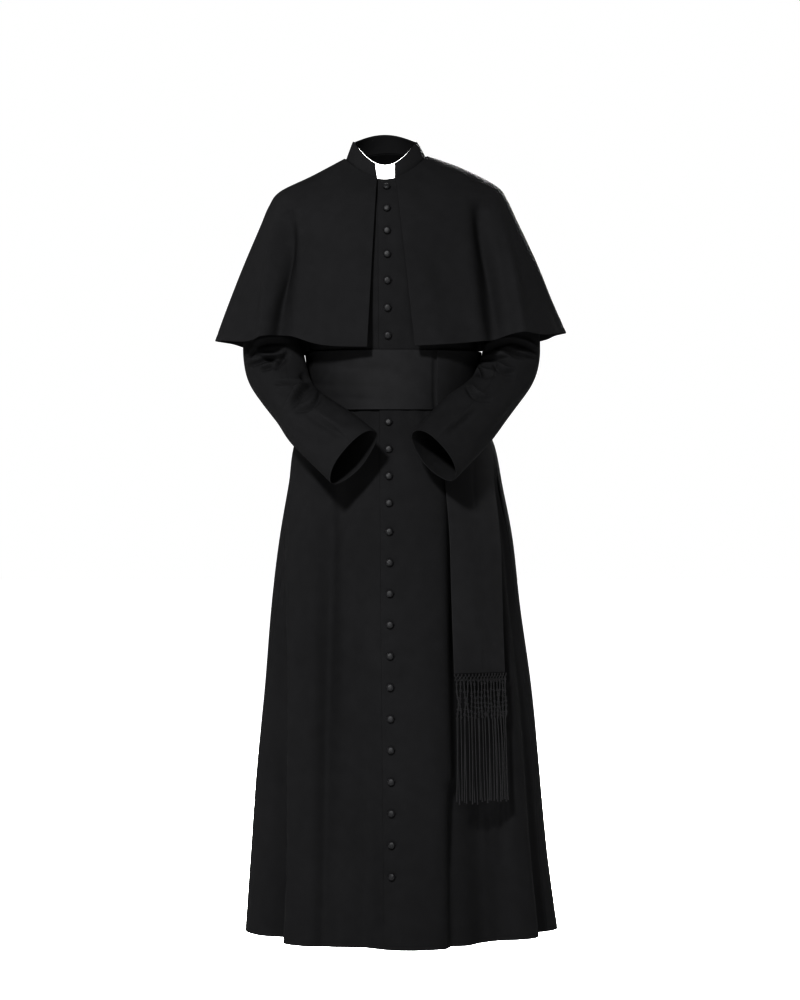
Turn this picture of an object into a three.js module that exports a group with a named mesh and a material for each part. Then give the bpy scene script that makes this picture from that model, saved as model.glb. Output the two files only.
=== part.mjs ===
// A cassock as it is worn: a buttoned body, two-piece sleeves bent forward, a stand collar with its
// white tab, an open shoulder cape and a waist sash with one fringed fall. It is hollow throughout.
//
// Millimetres, +Z up. The wearer faces -Y, so the wearer's left is +X. The origin is the centre of
// the neck opening, level with the collar seam at the sides, where the garment rests on its wearer.
import * as THREE from 'three';

// ---------------------------------------------------------------- driving dimensions

const CLOTH = 1.5; // wool suiting, of the body, sleeves and cape
const SASH_CLOTH = 2; // folded silk of the sash
const COLLAR_CLOTH = 2.5; // stiffened stand collar
const TAB_CLOTH = 1.2; // slip-in white tab
const SEAM = 0.35; // gap between two sewn pieces

const WAIST = -366; // top of the sash
const HEM = -1465; // ankle hem
const SASH_WIDTH = 112;
const SASH_BOTTOM = WAIST - SASH_WIDTH;
const FALL_END = -967; // where the sash's fall turns into fringe
const FRINGE_END = -1210;
const FRINGE_THICK = 5.5;

const BUTTON_X = 1; // of the buttoned line at the neck
const BUTTON_DRIFT = 12.5; // how far that line leans to the wearer's left by the hem
const OVERLAP = 16.5; // the left front reaches this far past the buttons, the right one under them
const OVERLAP_LIFT = 2.2; // of the left front over the right one
const OVERLAP_END = [20, 40]; // degrees between which the left front comes down to the body
const COLLAR_GAP = 17.4; // half the opening that shows the tab
const SIDE_SEAM = 76; // degrees from the centre front
const BACK_SEAM = 112;

const SKIRT_FOLDS_TOP = SASH_BOTTOM - 12; // where the skirt's folds start
const SKIRT_GROWTH = 1.2; // above 1, they deepen faster towards the hem
const CAPE_FOLDS_TOP = -80;

const DEGREE = Math.PI / 180;

// A table's rows as objects, from one line of column names.
const table = (columns, rows) =>
  rows.map((row) => Object.fromEntries(columns.split(' ').map((name, i) => [name, row[i] ?? 0])));

// ---------------------------------------------------------------- rings of the garment
// Each row is one ring, from the neck down: its heights at the side, front and back, half its
// breadth, its depth before and behind the centre, its centre's X, and how much higher it is on
// the wearer's left.

const RING = 'side front back half fore aft centre tilt';

const BODY = table(RING, [
  [0, -44, 18, 74, 60, 62, 0, 2.5], // neck edge
  [-33, -76, -15, 130, 88, 92, 2, 7],
  [-59, -107, -60, 186, 104, 108, 4, 6], // shoulder tips
  [-110, -150, -125, 186, 115, 118, 5, 6],
  [-170, -195, -180, 176, 122, 122, 6, 5],
  [-235, -235, -235, 165, 126, 120, 8, 3], // underarm
  [-300, -300, -300, 160, 126, 114, 12, 1],
  [WAIST, WAIST, WAIST, 158, 120, 106, 14],
  [-422, -422, -422, 156, 117, 103, 14],
  [SASH_BOTTOM, SASH_BOTTOM, SASH_BOTTOM, 160, 120, 106, 14],
  [-540, -540, -540, 190, 138, 140, 15], // hips
  [-620, -620, -620, 205, 153, 160, 16],
  [-720, -720, -720, 222, 170, 182, 17.5],
  [-850, -850, -850, 236, 188, 204, 17.5],
  [-1000, -1000, -1000, 252, 210, 226, 22],
  [-1150, -1150, -1150, 266, 229, 246, 22.5],
  [-1310, -1310, -1310, 278, 247, 265, 24],
  [HEM + 9, HEM, HEM, 292, 262, 282, 27],
]);

const CAPE = table(RING, [
  [4.5, -41.5, 22.5, 79, 66, 67, 0, 2.5], // neck edge
  [-23, -75, -4, 141, 98, 101, 1, 7.5],
  [-55, -118, -50, 205, 117, 123, 4, 5.5], // over the shoulder tips
  [-82, -145, -84, 226, 124, 130, 4, 6],
  [-120, -178, -125, 243, 130, 137, 5, 6.5],
  [-200, -240, -205, 278, 138, 145, 7, 7],
  [-275, -305, -290, 307, 145, 153, 8, 7],
  [-336, -361, -370, 331, 152, 160, 11, 7.5], // hem
]);

const COLLAR = table(RING, [
  [34, -17, 53, 61, 59, 53, -2], // top edge
  [18, -29.5, 36, 68, 61, 59, -1, 1.2],
  [1.6, -41.5, 19.6, 75.8, 62, 63.5, 0, 2.5], // just above the neck edge
]);

// ---------------------------------------------------------------- folds
// Each row is one soft fold that grows towards the hem: its angle and width in degrees and how far
// it moves the cloth out, along the ring and up there, and by how many degrees it starts beside
// that angle at its top, because a fold hangs straighter than the skirt flares.

const FOLD = 'angle width out along lift turn';

const SKIRT_FOLDS = table(FOLD, [
  [-16, 10, -34, 0, 0, -6], // trough beside the buttons
  [-33, 9, 12, 0, 0, -23], // roll in front of the thigh
  [-40.5, 5, 8, -26, 0, -34], // its overhanging edge
  [-52, 8, -48, 0, 0, -44], // deep valley behind the roll
  [-76, 8, 6],
  [-98, 8, -24],
  [-115, 9, 13],
  [-133, 8, -31],
  [-152, 9, 12],
  [-168, 7, -20],
  [38, 13, -46], // broad trough under the sash's fall
  [57, 8, 8],
  [70, 6, -22],
  [84, 6, 6],
  [104, 8, -26],
  [120, 9, 14],
  [137, 8, -30],
  [155, 9, 12],
  [174, 6, -14],
]);

const CAPE_FOLDS = table(FOLD, [
  [-32, 8, -14],
  [-39, 11, 0, 0, 19],
  [-46, 7, 9],
  [-68, 7, -6],
  [-92, 8, 4],
  [-110, 8, -9],
  [-128, 9, 9],
  [-147, 8, -12],
  [-165, 8, 7],
  [27, 8, -12],
  [37, 4, -4],
  [46, 9, 0, 0, 10],
  [51, 8, 10],
  [78, 8, -5],
  [105, 8, -8],
  [122, 9, 8],
  [141, 8, -12],
  [160, 8, 8],
  [177, 6, -6],
]);

// ---------------------------------------------------------------- armholes
// The angle of the armhole's front and back edges, by body ring.

const ARMHOLE_TOP = 2; // the rings of the shoulder tip and of the underarm
const ARMHOLE_END = 5;
const ARMHOLE_UNDER = 0.4; // share of its loop where the front edge ends and the underarm begins

const ARMHOLE = table('ring front back', [
  [ARMHOLE_TOP, 90, 90],
  [2.3, 76, 104],
  [3, 62, 116],
  [4, 60, 118],
  [ARMHOLE_END, 75, 115],
]);

// ---------------------------------------------------------------- sleeves
// Each row is one ring of a sleeve, from just below the armhole to the cuff: its outermost point
// (the elbow's side), its innermost point (the crook's side), and half its breadth across.

const SLEEVE = 'outerX outerY outerZ innerX innerY innerZ breadth';

const RIGHT_SLEEVE = table(SLEEVE, [
  [-226, 3, -122, -167, 3, -238, 66],
  [-240, 3, -163, -168, 3, -247, 64],
  [-252, 3, -207, -167, 3, -261, 62],
  [-262, 3, -262, -166, 3, -283, 61],
  [-268, 3, -306, -166, 3, -312, 60],
  [-272, 2, -350, -157, 0, -343, 59],
  [-270, 0, -386, -150, -12, -371, 57],
  [-258, -14, -424, -143, -24, -397, 55], // elbow
  [-232, -42, -465, -135, -50, -420, 53],
  [-200, -80, -507, -126, -80, -436, 51],
  [-174, -118, -541, -104, -118, -456, 47],
  [-137, -168, -579, -60, -168, -488, 40],
  [-99.5, -218, -615, -17.5, -218, -520, 31], // cuff
]);

const LEFT_SLEEVE = table(SLEEVE, [
  [236, 3, -112, 183, 3, -230, 66],
  [254, 3, -158, 186, 3, -242, 64],
  [268, 3, -205, 187, 3, -258, 62],
  [280, 3, -258, 187, 3, -280, 61],
  [288, 3, -305, 186, 3, -309, 60],
  [293, 2, -350, 181, 0, -343, 59],
  [291, -2, -386, 173, -14, -372, 57],
  [277, -14, -424, 163, -28, -397, 55], // elbow
  [250, -42, -465, 152, -54, -418, 53],
  [219, -83, -507, 140, -86, -430, 51],
  [191, -122, -541, 114, -122, -451, 47],
  [159, -170, -576, 81, -170, -488, 40],
  [127, -218, -608.5, 51, -218, -520.5, 31], // cuff
]);

const RIGHT_CLEAR = 9; // between the bare body and the right sleeve: the sash and some air
const LEFT_CLEAR = 15; // the same with the sash's fall between them
const PRESS = 16; // how suddenly a sleeve flattens against the body: more is more sudden
const ARMHOLE_CLEAR = 1.6; // from the armhole's edge to the sleeve's first ring
const SLEEVE_SEAMS = [-0.22, 0.3, 0.78]; // in turns from the elbow's side towards the front

// ---------------------------------------------------------------- sash
// The left and right edges of the fall, in degrees, and its clearance off the skirt, by height.

const FALL = table('height from to clear', [
  [WAIST, 30, 74.5, 6.5],
  [-422, 30, 74.5, 6.5],
  [SASH_BOTTOM, 30, 74.5, 6.5],
  [-540, 28, 67, 8],
  [-620, 26.5, 61, 9],
  [-720, 26, 57.5, 10],
  [-850, 25.2, 54, 11],
  [FALL_END, 23.8, 50.3, 12],
  [-1050, 23.2, 48.5, 12],
  [-1130, 22.7, 46.9, 12],
  [FRINGE_END, 22.2, 45.4, 12],
]);

const SASH_CLEAR = 3.5; // from the bare body to the inside of the sash's band

// ---------------------------------------------------------------- buttons

const BUTTON_PROFILE = [[0, 0], [6.6, 0], [7, 1.8], [4.6, 4.6], [0, 5.6]]; // radius, height
const BUTTON_SIDES = 8;
const BUTTON_CLEAR = 0.9;
const CHEST_BUTTONS = [-61, -102, -144, -188, -237, -288, -339];
const SKIRT_BUTTONS = table('first last count', [
  [-502, -652, 4], // behind the joined sleeves, a little closer
  [-705, -1333, 12],
]);

// ---------------------------------------------------------------- materials

const wool = new THREE.MeshStandardMaterial({ name: 'wool', color: 0x17171a, roughness: 0.9, metalness: 0 });
const silk = new THREE.MeshStandardMaterial({ name: 'silk', color: 0x141416, roughness: 0.6, metalness: 0 });
const linen = new THREE.MeshStandardMaterial({ name: 'linen', color: 0xececea, roughness: 0.6, metalness: 0 });
const covered = new THREE.MeshStandardMaterial({ name: 'covered', color: 0x1b1b1e, roughness: 0.7, metalness: 0 });

// ---------------------------------------------------------------- interpolation

// All columns of a table at a row between its rows, on a Catmull-Rom curve.
function between(rows, row) {
  const i = THREE.MathUtils.clamp(Math.floor(row), 0, rows.length - 2);
  const t = row - i;
  const last = rows.length - 1;
  const [before, start, end, after] = [i - 1, i, i + 1, i + 2].map((k) => rows[Math.min(Math.max(k, 0), last)]);
  const result = {};
  for (const name of Object.keys(start)) {
    const slopeIn = (end[name] - before[name]) / 2;
    const slopeOut = (after[name] - start[name]) / 2;
    const rise = end[name] - start[name];
    result[name] =
      start[name] + t * slopeIn + t * t * (3 * rise - 2 * slopeIn - slopeOut) + t ** 3 * (slopeIn + slopeOut - 2 * rise);
  }
  return result;
}

// All columns of a table where its first column has the given value, on straight lines.
function lookup(rows, value) {
  const [key, ...others] = Object.keys(rows[0]);
  const rising = rows[1][key] > rows[0][key];
  let i = 0;
  while (i < rows.length - 2 && rising === value > rows[i + 1][key]) i += 1;
  const t = (value - rows[i][key]) / (rows[i + 1][key] - rows[i][key]);
  return Object.fromEntries(others.map((name) => [name, THREE.MathUtils.lerp(rows[i][name], rows[i + 1][name], t)]));
}

// The row of the body's rings whose point at an angle lies at a height.
function bodyRow(height, angle) {
  let above = 0;
  let below = BODY.length - 1;
  for (let step = 0; step < 40; step += 1) {
    const middle = (above + below) / 2;
    if (plainBody(middle, angle).z > height) above = middle;
    else below = middle;
  }
  return (above + below) / 2;
}

// ---------------------------------------------------------------- surfaces
// A surface is a function of two numbers, most often a ring's row and an angle round it in
// degrees: 0 at the centre front, 90 at the wearer's left and -90 at the right.

// Cloth on a table of rings, with folds that start at one height and grow to the last ring.
function drape(rings, folds = [], top = 0, growth = 1) {
  const hem = rings[rings.length - 1].side;
  return (row, angle) => {
    const ring = between(rings, row);
    const sine = Math.sin(angle * DEGREE);
    const cosine = Math.cos(angle * DEGREE);
    const depth = cosine > 0 ? ring.fore : ring.aft;
    const level = cosine > 0 ? ring.front : ring.back;
    const height = ring.side * sine ** 2 + level * cosine ** 2 + ring.tilt * sine;
    const point = new THREE.Vector3(ring.centre + ring.half * sine, -depth * cosine, height);
    const fallen = THREE.MathUtils.clamp((top - ring.side) / (top - hem), 0, 1);
    const tangent = new THREE.Vector3(ring.half * cosine, depth * sine, 0).normalize();
    const outward = new THREE.Vector3(tangent.y, -tangent.x, 0);
    for (const fold of folds) {
      const middle = fold.angle + fold.turn * (1 - fallen) ** 2;
      const away = THREE.MathUtils.euclideanModulo(angle - middle + 180, 360) - 180;
      const reach = fallen ** growth * Math.exp(-((away / fold.width) ** 2));
      point.addScaledVector(outward, fold.out * reach);
      point.addScaledVector(tangent, fold.along * reach);
      point.z += fold.lift * reach;
    }
    return point;
  };
}

// The outward normal of a surface whose rows run down and whose angles run to the wearer's left.
function normalOf(surface, row, turn, rowStep = 0.25, turnStep = 0.5) {
  const down = surface(row + rowStep, turn).sub(surface(row - rowStep, turn));
  const round = surface(row, turn + turnStep).sub(surface(row, turn - turnStep));
  return down.cross(round).normalize();
}

// A surface moved out along its normals, by a height that may vary over it.
function raised(surface, height) {
  return (row, angle) => {
    const rise = typeof height === 'function' ? height(row, angle) : height;
    return surface(row, angle).addScaledVector(normalOf(surface, row, angle), rise);
  };
}

const plainBody = drape(BODY);
const body = drape(BODY, SKIRT_FOLDS, SKIRT_FOLDS_TOP, SKIRT_GROWTH);
const cape = drape(CAPE, CAPE_FOLDS, CAPE_FOLDS_TOP);
const collar = drape(COLLAR);

// The left front lies over the right one, and comes down to the body beside the overlap.
const leftFront = raised(body, (row, angle) => OVERLAP_LIFT * (1 - THREE.MathUtils.smoothstep(angle, ...OVERLAP_END)));

// ---------------------------------------------------------------- walls

// A closed wall between two grids of points, with rims at its free edges. A loop joins its last
// column to its first.
function wall(outer, inner, loop = false) {
  const rows = outer.length;
  const columns = outer[0].length;
  const positions = [...outer.flat(), ...inner.flat()].flatMap((point) => point.toArray());
  const index = [];
  const at = (side, row, column) => side * rows * columns + row * columns + (column % columns);
  const quad = (a, b, c, d) => index.push(a, b, c, a, c, d);
  const spans = loop ? columns : columns - 1;
  for (let row = 0; row < rows - 1; row += 1) {
    for (let column = 0; column < spans; column += 1) {
      quad(at(0, row, column), at(0, row + 1, column), at(0, row + 1, column + 1), at(0, row, column + 1));
      quad(at(1, row, column), at(1, row, column + 1), at(1, row + 1, column + 1), at(1, row + 1, column));
    }
  }
  for (let column = 0; column < spans; column += 1) {
    quad(at(0, 0, column), at(0, 0, column + 1), at(1, 0, column + 1), at(1, 0, column));
    const end = rows - 1;
    quad(at(0, end, column + 1), at(0, end, column), at(1, end, column), at(1, end, column + 1));
  }
  for (let row = 0; row < rows - 1 && !loop; row += 1) {
    quad(at(0, row + 1, 0), at(0, row, 0), at(1, row, 0), at(1, row + 1, 0));
    const end = columns - 1;
    quad(at(0, row, end), at(0, row + 1, end), at(1, row + 1, end), at(1, row, end));
  }
  const geometry = new THREE.BufferGeometry();
  geometry.setAttribute('position', new THREE.Float32BufferAttribute(positions, 3));
  geometry.setIndex(turnedOut(positions, index));
  geometry.computeVertexNormals();
  return geometry;
}

// The triangles, turned round if together they enclose a negative volume.
function turnedOut(positions, index) {
  const corner = (k) => new THREE.Vector3().fromArray(positions, index[k] * 3);
  let volume = 0;
  for (let k = 0; k < index.length; k += 3) volume += corner(k).dot(corner(k + 1).cross(corner(k + 2)));
  if (volume > 0) return index;
  return index.map((_, k) => index[k - (k % 3) + (2 - (k % 3))]);
}

// A piece of cloth on a surface: one point for each row and column, and the same points moved in
// by the cloth's thickness. The two outer columns stand back from their seams by half the gap.
function cut(surface, rows, columnsAt, thickness, { facing = 1, rowStep = 0.25, turnStep = 0.5, loop = false } = {}) {
  const outer = [];
  const inner = [];
  for (const row of rows) {
    const columns = [...columnsAt(row)];
    if (!loop) {
      const last = columns.length - 1;
      columns[0] += seamTurn(surface, row, columns[0], turnStep);
      columns[last] -= seamTurn(surface, row, columns[last], turnStep);
    }
    outer.push(columns.map((turn) => surface(row, turn)));
    inner.push(
      columns.map((turn) => {
        const inward = normalOf(surface, row, turn, rowStep, turnStep).multiplyScalar(-facing * thickness);
        return surface(row, turn).add(inward);
      }),
    );
  }
  return wall(outer, inner, loop);
}

// Half of the seam's gap, in the units that run round a surface.
function seamTurn(surface, row, turn, turnStep) {
  const reach = surface(row, turn + turnStep).distanceTo(surface(row, turn - turnStep));
  return (SEAM * turnStep) / reach;
}

// Spreads columns that are given for a surface's widest place between two edges.
function spread(columns, from, to) {
  const first = columns[0];
  const scale = (to - from) / (columns[columns.length - 1] - first);
  return columns.map((column) => from + (column - first) * scale);
}

const garment = new THREE.Group();

function add(name, geometry, material) {
  const mesh = new THREE.Mesh(geometry, material);
  mesh.name = name;
  garment.add(mesh);
  return mesh;
}

// ---------------------------------------------------------------- body panels

const BODY_ROWS = [0, 1, 2, 2.6, 3.3, 4.2, 5, 6, 7, 8, 9, 10, 11, 12, 13, 14, 15, 16, 17];
const SKIRT_ROWS = BODY_ROWS.filter((row) => row >= ARMHOLE_END);
const LEFT_FRONT_COLUMNS = [-6, -3, 0, 4, 9, 15, 22, 29, 36, 43, 50, 57, 64, 70, SIDE_SEAM];
const RIGHT_FRONT_COLUMNS = [-SIDE_SEAM, -68, -61, -56, -52, -48.5, -45, -41, -36, -30, -24, -18, -13, -9, -6, -3, 0];
const SIDE_COLUMNS = [SIDE_SEAM, 84, 94, 104, BACK_SEAM];
const LEFT_BACK_COLUMNS = [BACK_SEAM, 120, 129, 137, 146, 155, 163, 170, 175, 180];
const RIGHT_BACK_COLUMNS = [-180, -174, -168, -160, -152, -143, -133, -124, -115, -BACK_SEAM];

// X of the buttoned line at a height.
const buttonX = (height) => BUTTON_X + BUTTON_DRIFT * (height / HEM);

// The angle at which a row of rings passes through an X at the front.
function frontAngle(rings, row, x) {
  const ring = between(rings, row);
  return Math.asin((x - ring.centre) / ring.half) / DEGREE;
}

// The outer edge of a front or back panel: the shoulder, then the armhole, then the side seam.
function panelEdge(row, edge, seam) {
  if (row <= ARMHOLE_TOP) return 90;
  if (row >= ARMHOLE_END + 1) return seam;
  if (row >= ARMHOLE_END) return THREE.MathUtils.lerp(lookup(ARMHOLE, ARMHOLE_END)[edge], seam, row - ARMHOLE_END);
  return lookup(ARMHOLE, row)[edge];
}

function leftFrontColumns(row) {
  const height = between(BODY, row).front;
  const inside = frontAngle(BODY, row, buttonX(height) - OVERLAP);
  return spread(LEFT_FRONT_COLUMNS, inside, panelEdge(row, 'front', SIDE_SEAM));
}

function rightFrontColumns(row) {
  const height = between(BODY, row).front;
  const inside = frontAngle(BODY, row, buttonX(height) + OVERLAP);
  return spread(RIGHT_FRONT_COLUMNS, -panelEdge(row, 'front', SIDE_SEAM), inside);
}

function sideColumns(row) {
  const from = panelEdge(row, 'front', SIDE_SEAM);
  return spread(SIDE_COLUMNS, from, panelEdge(row, 'back', BACK_SEAM));
}

const mirrored = (columns) => [...columns].reverse().map((column) => -column);

add('front_left', cut(leftFront, BODY_ROWS, leftFrontColumns, CLOTH), wool);
add('front_right', cut(body, BODY_ROWS, rightFrontColumns, CLOTH), wool);
add('side_left', cut(body, SKIRT_ROWS, sideColumns, CLOTH), wool);
add('side_right', cut(body, SKIRT_ROWS, (row) => mirrored(sideColumns(row)), CLOTH), wool);

const leftBackColumns = (row) => spread(LEFT_BACK_COLUMNS, panelEdge(row, 'back', BACK_SEAM), 180);
const rightBackColumns = (row) => spread(RIGHT_BACK_COLUMNS, -180, -panelEdge(row, 'back', BACK_SEAM));

add('back_left', cut(body, BODY_ROWS, leftBackColumns, CLOTH), wool);
add('back_right', cut(body, BODY_ROWS, rightBackColumns, CLOTH), wool);

// ---------------------------------------------------------------- sleeves

// The armhole as a loop of one turn: down its front edge, across the underarm, up its back edge.
function armhole(side, turn) {
  const t = THREE.MathUtils.euclideanModulo(turn, 1);
  const under = lookup(ARMHOLE, ARMHOLE_END);
  const depth = ARMHOLE_END - ARMHOLE_TOP;
  let row = ARMHOLE_END;
  let angle = THREE.MathUtils.mapLinear(t, ARMHOLE_UNDER, 1 - ARMHOLE_UNDER, under.front, under.back);
  if (t < ARMHOLE_UNDER) {
    row = ARMHOLE_TOP + (depth * t) / ARMHOLE_UNDER;
    angle = lookup(ARMHOLE, row).front;
  } else if (t > 1 - ARMHOLE_UNDER) {
    row = ARMHOLE_TOP + (depth * (1 - t)) / ARMHOLE_UNDER;
    angle = lookup(ARMHOLE, row).back;
  }
  return plainBody(row, side * angle).add(new THREE.Vector3(side * ARMHOLE_CLEAR, 0, 0));
}

// Moves a point level out of the bare body until it is clear of it by a distance, and softly: a
// point far outside stays, and one near the limit is already pressed out a little.
function keepClear(point, distance) {
  const ring = between(BODY, bodyRow(point.z, 90));
  const depth = (point.y < 0 ? ring.fore : ring.aft) + distance;
  const nearness = Math.hypot((point.x - ring.centre) / (ring.half + distance), point.y / depth);
  const pressed = (1 + nearness ** PRESS) ** (1 / PRESS) / nearness;
  return point.set(ring.centre + (point.x - ring.centre) * pressed, point.y * pressed, point.z);
}

// A sleeve's surface: the armhole at row 0, then ellipses on the rows of its table.
function sleeveSurface(rings, side, clear) {
  const corner = (ring, which) => new THREE.Vector3(ring[`${which}X`], ring[`${which}Y`], ring[`${which}Z`]);
  const centre = (row) => {
    const ring = between(rings, THREE.MathUtils.clamp(row, 0, rings.length - 1));
    return corner(ring, 'outer').add(corner(ring, 'inner')).multiplyScalar(0.5);
  };
  const ellipse = (row, turn) => {
    const ring = between(rings, row);
    const long = corner(ring, 'outer').sub(corner(ring, 'inner')).multiplyScalar(0.5);
    const along = centre(row + 0.5).sub(centre(row - 0.5));
    const across = along.cross(long).setLength(side * ring.breadth);
    const angle = turn * 2 * Math.PI;
    const point = centre(row).addScaledVector(long, Math.cos(angle)).addScaledVector(across, Math.sin(angle));
    return keepClear(point, clear);
  };
  return (row, turn) => {
    if (row >= 1) return ellipse(row - 1, turn);
    return armhole(side, turn).lerp(ellipse(0, turn), row);
  };
}

const SLEEVE_COLUMNS = 9;
const SLEEVE_STEPS = { rowStep: 0.8, turnStep: 0.03 }; // for the normals of its coarse rings

function addSleeve(side, rings, clear, name) {
  const surface = sleeveSurface(rings, side, clear);
  const rows = Array.from({ length: rings.length + 1 }, (_, row) => row);
  const [start, middle, end] = SLEEVE_SEAMS;
  const options = { facing: -side, ...SLEEVE_STEPS };
  for (const [piece, from, to] of [['top', start, middle], ['under', middle, end]]) {
    const columns = Array.from({ length: SLEEVE_COLUMNS }, (_, i) =>
      THREE.MathUtils.lerp(from, to, i / (SLEEVE_COLUMNS - 1)),
    );
    add(`sleeve_${name}_${piece}`, cut(surface, rows, () => columns, CLOTH, options), wool);
  }
}

addSleeve(1, LEFT_SLEEVE, LEFT_CLEAR, 'left');
addSleeve(-1, RIGHT_SLEEVE, RIGHT_CLEAR, 'right');

// ---------------------------------------------------------------- collar and tab

const COLLAR_ROWS = [0, 1, 2];
const COLLAR_SPANS = 30;
const TAB_REACH = 60; // degrees to each side
const TAB_SPANS = 12;
const TAB_CLEAR = 1; // behind the collar
const TAB_RISE = 1.5; // above the collar's top edge at the front
const TAB_SINK = 42; // degrees from the front where the tab dips below that edge

function collarColumns(row) {
  const from = frontAngle(COLLAR, row, COLLAR_GAP);
  return Array.from({ length: COLLAR_SPANS + 1 }, (_, i) => THREE.MathUtils.lerp(from, 360 - from, i / COLLAR_SPANS));
}

add('collar_stand', cut(collar, COLLAR_ROWS, collarColumns, COLLAR_CLOTH), wool);

// The tab stands inside the collar, a little above its top edge at the front.
const behindCollar = raised(collar, -(COLLAR_CLOTH + TAB_CLEAR));
const tab = (row, angle) => {
  const rise = TAB_RISE * (1 - row / 2) * (1 - (angle / TAB_SINK) ** 2);
  return behindCollar(row, angle).add(new THREE.Vector3(0, 0, rise));
};
const tabColumns = Array.from({ length: TAB_SPANS + 1 }, (_, i) => TAB_REACH * ((2 * i) / TAB_SPANS - 1));

add('collar_tab', cut(tab, COLLAR_ROWS, () => tabColumns, TAB_CLOTH), linen);

// ---------------------------------------------------------------- cape

const CAPE_ROWS = [0, 1, 2, 3, 4, 5, 6, 7];
const CAPE_COLUMNS = [8, 15, 21, 27, 33, 39, 45, 51, 58, 68, 78, 90, 104, 113, 122, 132, 141, 151, 160, 170, 180];
const CAPE_EDGES = table('height right left', [
  [-46, -17, 19],
  [-361, -34.5, 54.4],
]);

// The cape's columns from its front edge round to the centre back.
function capeColumns(row, name) {
  const x = lookup(CAPE_EDGES, between(CAPE, row).front)[name];
  return spread(CAPE_COLUMNS, Math.abs(frontAngle(CAPE, row, x)), 180);
}

add('cape_left', cut(cape, CAPE_ROWS, (row) => capeColumns(row, 'left'), CLOTH), wool);
add('cape_right', cut(cape, CAPE_ROWS, (row) => mirrored(capeColumns(row, 'right')), CLOTH), wool);

// ---------------------------------------------------------------- sash

const BAND_SPANS = 40;
const FALL_SPANS = 5;

const band = raised(plainBody, SASH_CLEAR + SASH_CLOTH);
const bandColumns = Array.from({ length: BAND_SPANS }, (_, i) => (360 * i) / BAND_SPANS);
const bandRows = [WAIST, (WAIST + SASH_BOTTOM) / 2, SASH_BOTTOM].map((height) => bodyRow(height, 0));

add('sash_band', cut(band, bandRows, () => bandColumns, SASH_CLOTH, { loop: true }), silk);

// The hanging strip, over the band and then down the skirt. Its rows are heights and its columns
// run from 0 at its edge near the buttons to 1 at the other edge.
function hangingStrip(thickness) {
  return (height, share) => {
    const row = bodyRow(height, 0);
    const place = lookup(FALL, height);
    const angle = THREE.MathUtils.lerp(place.from, place.to, share);
    return raised(plainBody, place.clear + thickness)(row, angle);
  };
}

const stripColumns = Array.from({ length: FALL_SPANS + 1 }, (_, i) => i / FALL_SPANS);
const fallRows = FALL.map((row) => row.height).filter((height) => height >= FALL_END);
const fringeRows = [FALL_END - SEAM, -1050, -1130, FRINGE_END];
const stripSteps = { facing: -1, rowStep: 2, turnStep: 0.02 };

add('sash_fall', cut(hangingStrip(SASH_CLOTH), fallRows, () => stripColumns, SASH_CLOTH, stripSteps), silk);
add('sash_fringe', cut(hangingStrip(FRINGE_THICK), fringeRows, () => stripColumns, FRINGE_THICK, stripSteps), silk);

// ---------------------------------------------------------------- buttons

const skirtButtons = SKIRT_BUTTONS.flatMap(({ first, last, count }) =>
  Array.from({ length: count }, (_, i) => THREE.MathUtils.lerp(first, last, i / (count - 1))),
);

[...CHEST_BUTTONS, ...skirtButtons].forEach((height, i) => {
  const row = bodyRow(height, 0);
  const angle = frontAngle(BODY, row, buttonX(height));
  const normal = normalOf(leftFront, row, angle);
  const profile = BUTTON_PROFILE.map(([radius, rise]) => new THREE.Vector2(radius, rise));
  const name = `button_${String(i + 1).padStart(2, '0')}`;
  const button = add(name, new THREE.LatheGeometry(profile, BUTTON_SIDES), covered);
  button.position.copy(leftFront(row, angle)).addScaledVector(normal, BUTTON_CLEAR);
  button.quaternion.setFromUnitVectors(new THREE.Vector3(0, 1, 0), normal);
});

export default garment;
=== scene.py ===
import bpy
import numpy as np
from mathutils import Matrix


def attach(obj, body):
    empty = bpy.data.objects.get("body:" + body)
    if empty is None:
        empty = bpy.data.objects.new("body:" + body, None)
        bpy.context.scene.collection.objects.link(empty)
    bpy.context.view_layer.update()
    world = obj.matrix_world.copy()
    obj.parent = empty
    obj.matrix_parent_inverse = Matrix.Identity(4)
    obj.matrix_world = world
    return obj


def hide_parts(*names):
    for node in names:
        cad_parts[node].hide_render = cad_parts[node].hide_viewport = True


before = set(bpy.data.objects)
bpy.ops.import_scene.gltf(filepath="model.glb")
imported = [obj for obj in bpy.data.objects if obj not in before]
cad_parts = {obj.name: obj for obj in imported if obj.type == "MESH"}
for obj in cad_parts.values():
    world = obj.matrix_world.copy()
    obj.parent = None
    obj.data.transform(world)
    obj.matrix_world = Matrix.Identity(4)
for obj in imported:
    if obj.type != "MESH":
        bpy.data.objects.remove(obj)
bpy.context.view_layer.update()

metre = 0.001  # of a millimetre
waist, hem, sashWidth, fallEnd, fringeEnd = -366, -1465, 112, -967, -1210
sashBottom = waist - sashWidth
sideSeam, backSeam = 76, 112  # degrees from the centre front
seamGap = 0.35
foldTop, foldGrowth = sashBottom - 12, 1.2  # where the skirt's folds start, and how fast they deepen
capeFoldTop = -80
armholeTop, armholeEnd = 2, 5  # the body's rows of the shoulder tips and the underarm


# ---- tables and interpolation


# A table as a dictionary of columns; what a short line leaves out is 0.
def table(names, *lines):
    names = names.split()
    full = [list(line) + [0] * (len(names) - len(line)) for line in lines]
    return dict(zip(names, np.array(full, float).T))


# The lines of a table, one dictionary each.
def linesOf(columns):
    return [dict(zip(columns, line)) for line in zip(*columns.values())]


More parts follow.
